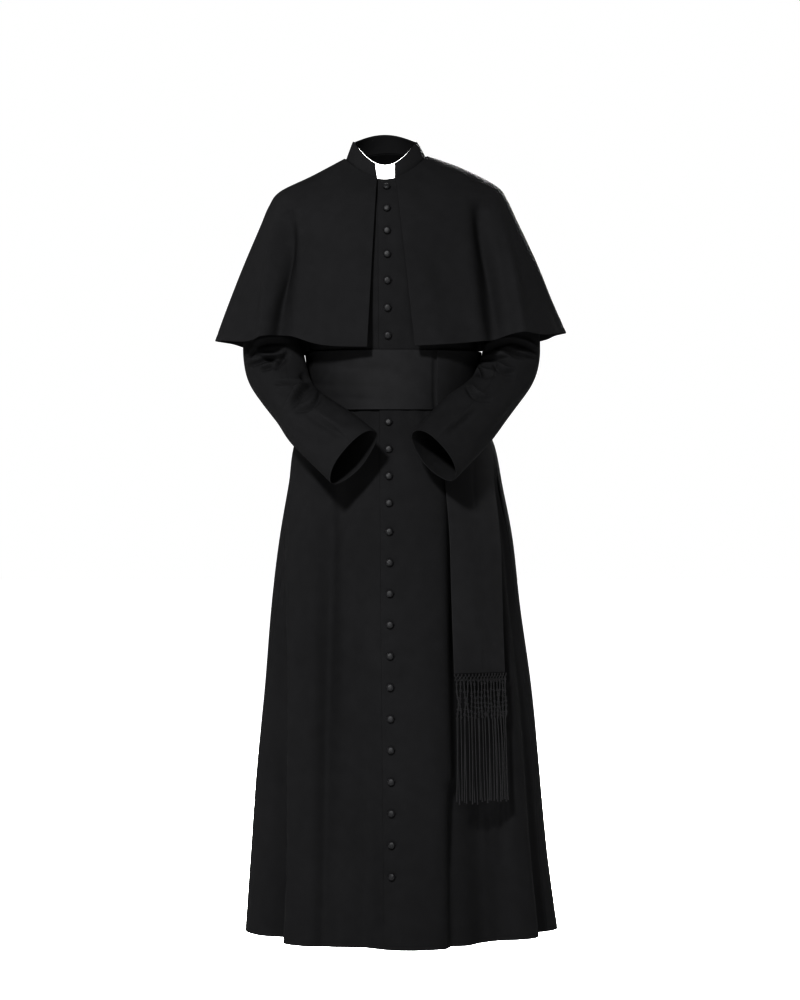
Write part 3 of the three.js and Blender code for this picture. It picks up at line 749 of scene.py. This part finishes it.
# The armhole as a loop of one turn: down its front edge, across the underarm, up its back edge.
def armhole(side, turn):
    t, share = turn % 1, sleeves["armholeSides"]
    depth = armholeEnd - armholeTop
    row = armholeTop + depth * np.minimum(1, np.minimum(t, 1 - t) / share)
    front = np.interp(row, armholeEdges["ring"], armholeEdges["front"])
    back = np.interp(row, armholeEdges["ring"], armholeEdges["back"])
    under = front + (back - front) * (t - share) / (1 - 2 * share)
    angle = np.where(t < share, front, np.where(t > 1 - share, back, under))
    return plainBody(row, side * angle) + np.array([side * sleeves["armholeClear"], 0, 0])


# Moves points level out of the bare body until they are a distance clear of it: the nearness n to its
# enlarged ellipse is replaced by the p-th root of 1 + n to the p, so far points stay where they are.
def keepClear(points, distance):
    ring = between(bodyRings, bodyRow(points[..., 2], 90))
    depth = np.where(points[..., 1] < 0, ring["fore"], ring["aft"]) + distance
    x = points[..., 0] - ring["centre"]
    nearness = np.hypot(x / (ring["half"] + distance), points[..., 1] / depth)
    power = sleeves["press"]
    scale = (1 + nearness**power) ** (1 / power) / nearness
    return np.stack([ring["centre"] + x * scale, points[..., 1] * scale, points[..., 2]], -1)


# The armhole at row 0, then ellipses on the rows of the sleeve's table.
def sleeveSurface(rings, side, clear):
    last = len(rings["breadth"]) - 1

    def corner(ring, which):
        return np.stack([ring[which + axis] for axis in "XYZ"], -1)

    def centre(row):
        ring = between(rings, np.clip(row, 0, last))
        return (corner(ring, "outer") + corner(ring, "inner")) / 2

    def ellipse(row, turn):
        ring = between(rings, row)
        long = (corner(ring, "outer") - corner(ring, "inner")) / 2
        across = unit(np.cross(centre(row + 0.5) - centre(row - 0.5), long))
        across = across * (side * ring["breadth"])[..., None]
        angle = 2 * np.pi * turn[..., None]
        return keepClear(centre(row) + long * np.cos(angle) + across * np.sin(angle), clear)

    def surface(row, turn):
        row, turn = np.broadcast_arrays(np.asarray(row, float), np.asarray(turn, float))
        lower = ellipse(np.maximum(row - 1, 0), turn)
        start = armhole(side, turn)
        return np.where(row[..., None] >= 1, lower, start + (ellipse(0 * row, turn) - start) * row[..., None])

    return surface


# Slow unevenness round and along the arm, and the cuff's turned-in edge.
def sleeveShape(points, normal, row, turn):
    waves = np.sin(4 * np.pi * turn + row * 1.7) + 0.6 * np.sin(10 * np.pi * turn - row * 2.3 + 1)
    return 0.8 * waves * smooth(row, 1, 4) - 0.3 * bell(row - 12.55, 0.05)


def sewSleeve(name):
    arm = sleeves[name]
    surface = sleeveSurface(arm["rings"], arm["side"], arm["clear"])
    start, middle, end = sleeves["seams"]
    shape = together(creased(arm["front"]), creased(arm["back"], towards=1), sleeveShape)
    rows = (0, len(arm["rings"]["breadth"]))
    for part, first, last in (("top", start, middle), ("under", middle, end)):
        sew(f"sleeve_{name}_{part}", surface, rows, fixed(first, last), sleeves["cloth"],
            sleeves["step"], "wool", "draped", shape=shape, facing=-arm["side"], steps=(0.2, 0.01),
            sewn="left right top", dip=sleeves["seamDip"], hangsFrom=[f"front_{name}"])


sewSleeve("left")
sewSleeve("right")
print("sleeves sewn")


# ---- collar and tab

neck = {
    "cloth": 2.5,
    "step": 2.6,
    "gap": 17.4,  # half the opening that shows the tab
    "tabCloth": 1.2,
    "tabStep": 2.2,
    "tabClear": 1.0,
    "tabReach": 60,
    "tabRise": 1.5,
    "tabSink": 42,
}
collar = drape(collarRings)


# The stand bulges a little between its edges, with a pressed line just under the top one.
def collarShape(points, normal, row, turn):
    return 0.5 * np.sin(np.pi * np.clip(row / 2, 0, 1)) - 0.3 * bell(row - 0.13, 0.04)


def sewCollar():
    def edges(row):
        start = frontAngle(collarRings, row, neck["gap"])
        return start, 360 - start

    sew("collar_stand", collar, (0, 2), edges, neck["cloth"], neck["step"], "wool", "stretched",
        shape=collarShape, hangsFrom=["front_left", "front_right"])
    behind = raised(collar, -(neck["cloth"] + neck["tabClear"]))

    def tab(row, angle):  # stands above the collar at the front and dips behind it at the sides
        rise = neck["tabRise"] * (1 - row / 2) * (1 - (angle / neck["tabSink"]) ** 2)
        return behind(row, angle) + np.stack([0 * rise, 0 * rise, rise], -1)

    sew("collar_tab", tab, (0, 2), fixed(-neck["tabReach"], neck["tabReach"]), neck["tabCloth"],
        neck["tabStep"], "linen", "stretched", hangsFrom=["collar_stand"])


sewCollar()
print("collar and tab made")


# ---- cape

cape = {
    "cloth": 1.5,
    "step": 4.4,
    "edges": table("height right left", (-361, -34.5, 54.4), (-46, -17, 19)),
    "front": table(
        creaseNames,
        (-204, -120, -221, -228, -240, -420, 9, -8),
        (-181, -100, -189, -240, -205, -420, 16, 30),
        (205, -80, 238, -215, 272, -420, 9, -8),
        (173, -80, 194, -230, 211, -420, 16, 30),
        (-96, -190, -104, -260, -112, -345, 16, 2.6),
        (96, -170, 104, -250, 110, -340, 16, 2.4),
    ),
    "back": table(
        creaseNames,
        (-203, -120, -226, -220, -244, -420, 10, -7),
        (-150, -120, -162, -220, -176, -430, 15, 12),
        (-70, -140, -78, -240, -84, -360, 14, -2.6),
        (66, -110, 78, -220, 90, -440, 15, 8),
        (206, -110, 238, -220, 262, -330, 11, -6),
        (140, -140, 156, -230, 172, -345, 14, -2.4),
    ),
}
wornCape = drape(capeRings, capeFolds, capeFoldTop)


# Slow unevenness that grows towards the cape's hem, and the pressed line of its turned edge.
def capeShape(points, normal, row, turn):
    angle = np.radians(turn)
    waves = np.sin(6 * angle + row * 0.7) + 0.6 * np.sin(11 * angle - row * 0.9 + 2)
    return 0.9 * waves * smooth(row, 2, 7) - 0.35 * bell(row - 6.72, 0.05)


def sewCape():
    shape = together(creased(cape["front"]), creased(cape["back"], towards=1), capeShape)

    def edge(row, name):
        x = np.interp(between(capeRings, row)["front"], cape["edges"]["height"], cape["edges"][name])
        return np.abs(frontAngle(capeRings, row, x))

    common = {"thickness": cape["cloth"], "step": cape["step"], "look": "wool", "held": "draped",
              "shape": shape, "hangsFrom": ["collar_stand"]}
    rows = (0, len(capeRings["side"]) - 1)
    sew("cape_left", wornCape, rows, lambda row: (edge(row, "left"), 180 + 0 * row),
        sewn="right", **common)
    sew("cape_right", wornCape, rows, lambda row: (-180 + 0 * row, -edge(row, "right")),
        sewn="left", **common)


sewCape()
print("cape sewn")


# ---- sash

sash = {
    "cloth": 2,
    "step": 4,
    "clear": 3.5,  # from the bare body to the inside of the band
    "groove": 3.4,  # how deep the band dips beside the fall, and at which degrees
    "grooveAngle": 28.9,
    "swell": 5,  # how far the band stands out at the wearer's sides, and at which degrees
    "swellAngle": 98,
    "falls": table(
        "height from to clear",
        (waist, 30, 74.5, 6.5),
        (-422, 30, 74.5, 6.5),
        (sashBottom, 30, 74.5, 6.5),
        (-540, 28, 67, 8),
        (-620, 26.5, 61, 9),
        (-720, 26, 57.5, 10),
        (-850, 25.2, 54, 11),
        (fallEnd, 23.8, 50.3, 12),
        (-1050, 23.2, 48.5, 12),
        (-1130, 22.7, 46.9, 12),
        (fringeEnd, 22.2, 45.4, 12),
    ),
}

# Folds pressed along the band: height from the waist, width, depth, angle and reach in degrees.
bandFolds = table(
    "drop width depth angle reach",
    (18, 4, 1.0, -70, 30), (30, 5, 1.2, -40, 26), (62, 5, 1.3, -64, 34), (90, 4, 1.0, -30, 22),
    (24, 4, 1.0, 84, 34), (52, 5, 1.2, 96, 40), (84, 5, 1.1, 78, 30), (36, 5, 1.3, 150, 40),
    (72, 5, 1.2, 176, 46), (20, 4, 1.0, -150, 40), (56, 5, 1.2, -128, 36), (94, 4, 1.0, -160, 40),
)


def bandShape(points, normal, row, turn):
    drop = waist - between(bodyRings, row)["side"]
    rise = 0.5 * np.sin(np.radians(turn) * 5 + 0.8) * np.sin(np.pi * np.clip(drop / sashWidth, 0, 1))
    for fold in linesOf(bandFolds):
        away = wrapped(turn - fold["angle"])
        line = drop - fold["drop"] - 6 * np.sin(np.radians(away) * 1.6)
        rise = rise - fold["depth"] * bell(line, fold["width"]) * bell(away, fold["reach"])
    rise = rise + sash["swell"] * bell(np.abs(wrapped(turn)) - sash["swellAngle"], 14)
    return rise - sash["groove"] * bell(wrapped(turn) - sash["grooveAngle"], 1.1)


# A hanging strip over the band and down the skirt, a height outside it: rows are drops below the
# origin, and its columns run from 0 at the edge near the buttons to 1 at the other.
def hangingStrip(height):
    falls = sash["falls"]

    def surface(drop, share):
        drop, share = np.broadcast_arrays(np.asarray(drop, float), np.asarray(share, float))
        first, last, clear = (np.interp(drop, -falls["height"], falls[k]) for k in ("from", "to", "clear"))
        angle = first + (last - first) * share
        row = bodyRow(-drop, 0)
        normal = normalOf(plainBody, row, angle)
        return plainBody(row, angle) + normal * (clear + height)[..., None]

    return surface


def fallShape(points, normal, row, turn):  # one soft crease down the middle and slow sideways waves
    ease = smooth(row, 470, 620)
    crease = -0.7 * bell(turn - 0.52 - 0.02 * np.sin(row / 120), 0.03)
    return ease * (crease + 0.9 * np.sin(row / 88) * (turn - 0.5) + 0.6 * np.sin(row / 61 + 1) * turn)


# The faces of tubes whose axes are tube, ring and side: quads between neighbouring rings, and the ends.
def tubeFaces(number, uv):
    def corners(grid):
        turned = np.roll(grid, -1, 2)
        return [grid[:, :-1], grid[:, 1:], turned[:, 1:], turned[:, :-1]]

    walls = np.stack(corners(number), -1).reshape(-1, 4), np.stack(corners(uv), -2).reshape(-1, 4, 2)
    return [walls, (number[:, 0], uv[:, 0]), (number[:, -1, ::-1], uv[:, -1, ::-1])]


# Twisted cords along many lines at once: each is a few plies whose centres wind round the line, and
# each ply is a tube whose rings are n-sided, with flat ends. The radius may swell, as at a knot.
def cordsOf(lines, outward, radius, pitch, plies, sides):
    count, length = lines.shape[:2]
    along = unit(np.gradient(lines, axis=1))
    across = unit(np.cross(along, outward))
    out = np.cross(across, along)
    gaps = np.linalg.norm(np.diff(lines, axis=1), axis=2)
    run = np.concatenate([np.zeros((count, 1)), np.cumsum(gaps, 1)], 1)
    points, uvs = [], []
    around = 2 * np.pi * np.arange(sides) / sides
    for ply in range(plies):
        twist = 2 * np.pi * (run / pitch + ply / plies) + np.arange(count)[:, None] * 1.9
        winding = across * np.cos(twist)[..., None] + out * np.sin(twist)[..., None]
        middle = lines + winding * (radius * 0.5)[..., None]
        ring = across[:, :, None] * np.cos(around)[:, None] + out[:, :, None] * np.sin(around)[:, None]
        points.append(middle[:, :, None] + ring * (radius * 0.56)[..., None, None])
        uvs.append(np.stack(np.broadcast_arrays(around * 0.6, run[..., None]), -1))
    points, uvs = np.stack(points), np.stack(uvs)  # ply, cord, step, side
    tubes = plies * count
    number = np.arange(tubes * length * sides).reshape(tubes, length, sides)
    return points.reshape(-1, 3), tubeFaces(number, uvs.reshape(tubes, length, sides, 2))


fringe = {
    "cords": 16,
    "strands": 23,
    "loopRadius": 1.3,
    "cordRadius": 1.45,
    "strandRadius": 1.25,
    "loopTwist": {"pitch": 6, "plies": 2, "sides": 5, "gap": 1.1},
    "cordTwist": {"pitch": 8, "plies": 2, "sides": 6, "gap": 1.1},
    "strandTwist": {"pitch": 6.5, "plies": 2, "sides": 5, "gap": 1.4},
    "knotted": -1050,  # where the knotted part ends
    "knots": (-984, -1000, -1011, -1021, -1030, -1038, -1046),
    "pairs": table("one other pull meet", (0, 1, 0.6, -1020), (2, 3, 0.5, -1020), (12, 13, 0.75, -1012)),
    "thick": 5.5,
    "seed": 7,
}


# The fringe: a row of short crossing loops under the hem, then knotted cords, then thinner strands
# with uneven ends, each a line on the strip's surface with small sideways wandering.
def makeFringe():
    random = np.random.default_rng(fringe["seed"])
    middle = hangingStrip(fringe["thick"] / 2)
    points, groups, total = [], [], 0

    def add(start, end, shares, shift, depth, radius, pitch, plies, sides, gap):
        nonlocal total
        count = len(shares)
        t = np.linspace(0, 1, int(np.ceil(np.max(start - end) / gap)) + 1)[None, :]
        heights = start[:, None] + (end - start)[:, None] * t
        place = shares[:, None] + shift(t, heights)
        lines = middle(-heights, place)
        outward = normalOf(plainBody, bodyRow(heights, 0), 22 + 26 * place)
        lines = lines + outward * depth(t, heights)[..., None]
        radii = radius(t, heights) * np.ones((count, 1))
        made, faces = cordsOf(lines, outward, radii, pitch, plies, sides)
        points.append(made)
        groups.extend((face + total, uv) for face, uv in faces)
        total += len(made)

    cords, knotted = fringe["cords"], fringe["knotted"]
    even = (np.arange(cords) + 0.5) / cords
    top = np.full(cords, fallEnd - 1.2)

    # Loops of the heading: two slanting cords from each place, one to each side.
    for lean in (-1, 1):
        add(top, top - 13 + random.uniform(-1, 1, cords), even,
            lambda t, h: lean * 0.5 / cords * np.cos(np.pi * t), lambda t, h: lean * 1.1 + 0 * t,
            lambda t, h: fringe["loopRadius"] + 0 * t, **fringe["loopTwist"])

    # Knotted cords: bells of extra radius at uneven heights, and pairs that are drawn together.
    knots = np.array(fringe["knots"])[:, None] + random.uniform(-3, 3, (len(fringe["knots"]), cords))
    size = random.uniform(0.7, 1.4, knots.shape)
    swell = lambda t, h: fringe["cordRadius"] * (
        1 + sum(size[k][:, None] * bell(h - knots[k][:, None], 1.9) for k in range(len(knots))))
    pull, meet = np.zeros((2, cords, 1))
    for pair in linesOf(fringe["pairs"]):
        one, other = int(pair["one"]), int(pair["other"])
        pull[one], pull[other] = pair["pull"], -pair["pull"]
        meet[[one, other]] = pair["meet"]
    wander = random.uniform(-1, 1, (2, cords, 1))
    add(top - 10, np.full(cords, knotted - 2.0) + random.uniform(-3, 3, cords), even,
        lambda t, h: (pull * 0.5 * bell(h - meet, 14)
                      + 0.1 * wander[0] * np.sin(h / 9 + wander[1] * 3)) / cords,
        lambda t, h: 0.5 * np.sin(h / 11 + wander[1] * 4), swell, **fringe["cordTwist"])

    # Loose strands: two from most knots, fanned a little, with ends at uneven heights.
    strands = fringe["strands"]
    from_ = even[np.arange(strands) * cords // strands] + np.tile([-0.15, 0.15], cords)[:strands] / cords
    to = (np.arange(strands) + 0.5) / strands * 1.06 - 0.02 + random.uniform(-0.28, 0.28, strands) / strands
    sway = random.uniform(-1, 1, (3, strands, 1))
    ends = fringeEnd + 4 + random.uniform(0, 9, strands)
    add(np.full(strands, knotted + 1.0), ends, from_,
        lambda t, h: (to - from_)[:, None] * t**0.8
        + 0.006 * sway[0] * np.sin(np.pi * t * (2.2 + sway[1])) * t,
        lambda t, h: 2.2 * sway[2] * np.sin(np.pi * t) ** 0.5,
        lambda t, h: fringe["strandRadius"] * (1 + 0.25 * bell(t - 1, 0.02)), **fringe["strandTwist"])

    # the cords take the silk's lighter copy, whose colour paints the light on their strands
    piece = meshOf("sash_fringe_cords", np.concatenate(points), groups, materials["painted_light_cord"])
    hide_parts("sash_fringe")
    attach(piece, "root")
    print(f"fringe: {len(piece.data.polygons)} faces")
    return piece


def sewSash():
    rows = tuple(float(bodyRow(height, 0)) for height in (waist, sashBottom))
    band = raised(plainBody, sash["clear"] + sash["cloth"])
    sew("sash_band", band, rows, fixed(0, 360), sash["cloth"], sash["step"], "silk", "stretched",
        shape=bandShape, loop=True, hangsFrom=["front_left", "front_right"])
    cords = makeFringe()
    sew("sash_fall", hangingStrip(sash["cloth"]), (-waist, -fallEnd), fixed(0, 1), sash["cloth"],
        sash["step"], "silk", "hung", shape=fallShape, steps=(2, 0.02), hangsFrom=["sash_band"],
        withPieces=[cords])


sewSash()
print("sash made")


# ---- buttons and buttonholes

buttons = {
    "chest": (-61, -102, -144, -188, -237, -288, -339),
    "skirt": ((-502, -652, 4), (-705, -1333, 12)),  # first, last, how many
    "clear": 0.9,
    "radius": 7.0,
    "height": 5.6,
    "rings": 18,
    "spokes": 36,
}


# The place, outward, sideways and upward direction of every button on the left front.
def buttonPlaces():
    heights = np.concatenate([buttons["chest"], *(np.linspace(*run) for run in buttons["skirt"])])
    row = bodyRow(heights, 0)
    angle = frontAngle(bodyRings, row, buttonX(heights))
    out = normalOf(leftFront, row, angle)
    sideways = unit(leftFront(row, angle + 0.5) - leftFront(row, angle - 0.5))
    return leftFront(row, angle), out, sideways, np.cross(out, sideways)


# A covered button is a profile turned round its axis: flat below, round at the rim, domed above, with
# small gathers of cloth that fade from the rim towards the top.
def makeButtons():
    centre, out, sideways, up = buttonPlaces()
    t = np.linspace(0, 1, buttons["rings"])[:, None]
    spin = 2 * np.pi * np.arange(buttons["spokes"])[None, :] / buttons["spokes"]
    bend = np.pi * (t * 1.02 - 0.5)
    radius = buttons["radius"] * np.cos(np.clip(bend, -1.55, 1.55)) ** 0.62
    level = buttons["height"] * (0.36 + np.where(bend < 0, 0.36, 0.64) * np.sin(np.clip(bend, -1.55, 1.55)))
    gathers = 1 + 0.022 * np.sin(9 * spin + 0.4 * np.sin(3 * spin)) * bell(t - 0.3, 0.2)
    x, y, z = radius * gathers * np.cos(spin), radius * gathers * np.sin(spin), level + 0 * spin
    rings, spokes = x.shape
    number = np.arange(rings * spokes).reshape(1, rings, spokes)
    faces = tubeFaces(number[:, :, ::-1], np.stack([x, y], -1)[None, :, ::-1])
    for i in range(len(centre)):
        base = centre[i] + out[i] * buttons["clear"]
        points = base + x[..., None] * sideways[i] + y[..., None] * up[i] + z[..., None] * out[i]
        name = f"button_{i + 1:02d}"
        piece = meshOf(name + "_covered", points.reshape(-1, 3), faces, materials["covered"])
        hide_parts(name)
        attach(piece, "root")


# Each buttonhole is a ring of stitching: a thin tube round a narrow slot that starts under its button
# and ends beside it, on the side away from the front's edge.
def makeButtonholes():
    centre, out, sideways, up = buttonPlaces()
    slot = {"length": 7.2, "width": 0.9, "thread": 0.45, "shift": 2.6, "steps": 32}
    steps = np.arange(slot["steps"] + 1)
    around = 2 * np.pi * steps / slot["steps"]
    loop = np.stack([slot["length"] * np.sign(np.cos(around)) * np.abs(np.cos(around)) ** 0.35,
                     slot["width"] * np.sin(around)], -1)
    line = (centre[:, None] + (loop[:, 0] + slot["shift"])[None, :, None] * sideways[:, None]
            + loop[:, 1][None, :, None] * up[:, None] + 0.1 * out[:, None])
    outward = np.broadcast_to(out[:, None], line.shape)
    radius = slot["thread"] * (1 + 0.18 * np.sin(steps * 2.4)) * np.ones((len(centre), 1))
    points, groups = cordsOf(line, outward, radius, 1e9, 1, 6)
    piece = meshOf("buttonholes", points, groups, materials["wool"])
    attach(piece, "root")


makeButtons()
makeButtonholes()
print("buttons made")


# ---- floor, light and camera

studio = {
    "floor": -1.56,
    "floorGlow": 0.99,  # so that the camera sees a floor as pale as the room
    "around": 0.1,  # the white room's light on the cloth
    "key": {"place": (-1.35, -4.3, 2.1), "size": 0.6, "power": 1210},
    "fill": {"place": (1.3, -5.0, 0.4), "size": 1.2, "power": 100},
    "left": {"place": (-3.6, 1.5, 1.2), "size": 1.4, "power": 210},
    "right": {"place": (3.6, 1.9, 1.2), "size": 1.4, "power": 210},
    "back": {"place": (1.4, 4.3, 2.1), "size": 0.8, "power": 800},
    "camera": (0.0266, -6.0, -0.646),
    "lens": 113.68,
    "gamma": 0.56,
}


def aimedAt(target, obj):
    direction = np.array(target) - np.array(obj.location)
    obj.rotation_mode = "QUATERNION"
    obj.rotation_quaternion = type(obj.location)(direction).to_track_quat("-Z", "Y")


def makeLight(name):
    values = studio[name]
    data = bpy.data.lights.new(name, "AREA")
    data.shape = "DISK"
    data.size, data.energy = values["size"], values["power"]
    light = inScene(name, data)
    light.location = values["place"]
    aimedAt((0, 0, -0.7), light)


# A white room that the camera sees as plain white, and that lights the cloth more softly.
def makeRoom():
    world = bpy.data.worlds.new("room")
    bpy.context.scene.world = world
    world.use_nodes = True
    tree = world.node_tree
    seen = addNode(tree, "LightPath")["Is Camera Ray"]
    strength = addNode(tree, "MapRange", {"Value": seen, "To Min": studio["around"], "To Max": 1.0})
    fill(tree, tree.nodes["Background"], {"Color": (1, 1, 1, 1), "Strength": strength["Result"]})
    for name in ("key", "fill", "left", "right", "back"):
        makeLight(name)


def makeFloor():
    half = 30
    corners = np.array([(-half, -half), (half, -half), (half, half), (-half, half)], float)
    points = np.column_stack([corners, np.full(4, studio["floor"])]) / metre
    material, tree, shader = newMaterial("floor")
    seen = addNode(tree, "LightPath")["Is Camera Ray"]
    fill(tree, shader, {
        "Base Color": (0.93, 0.93, 0.93, 1),
        "Roughness": 0.9,
        "Specular IOR Level": 0.0,
        "Emission Color": (1, 1, 1, 1),
        "Emission Strength": maths(tree, "MULTIPLY", seen, studio["floorGlow"]),
    })
    floor = meshOf("floor", points, [(np.arange(4)[None, :], corners[None])], material)


def makeCamera():
    data = bpy.data.cameras.new("camera")
    data.sensor_fit = "VERTICAL"
    data.sensor_height = 36
    data.lens = studio["lens"]
    data.clip_end = 100
    camera = inScene("camera", data)
    camera.location = studio["camera"]
    camera.rotation_euler = (np.pi / 2, 0, 0)
    bpy.context.scene.camera = camera


makeRoom()
makeFloor()
makeCamera()
view = bpy.context.scene.view_settings
view.view_transform = "Standard"
view.gamma = studio["gamma"]
print("studio made")
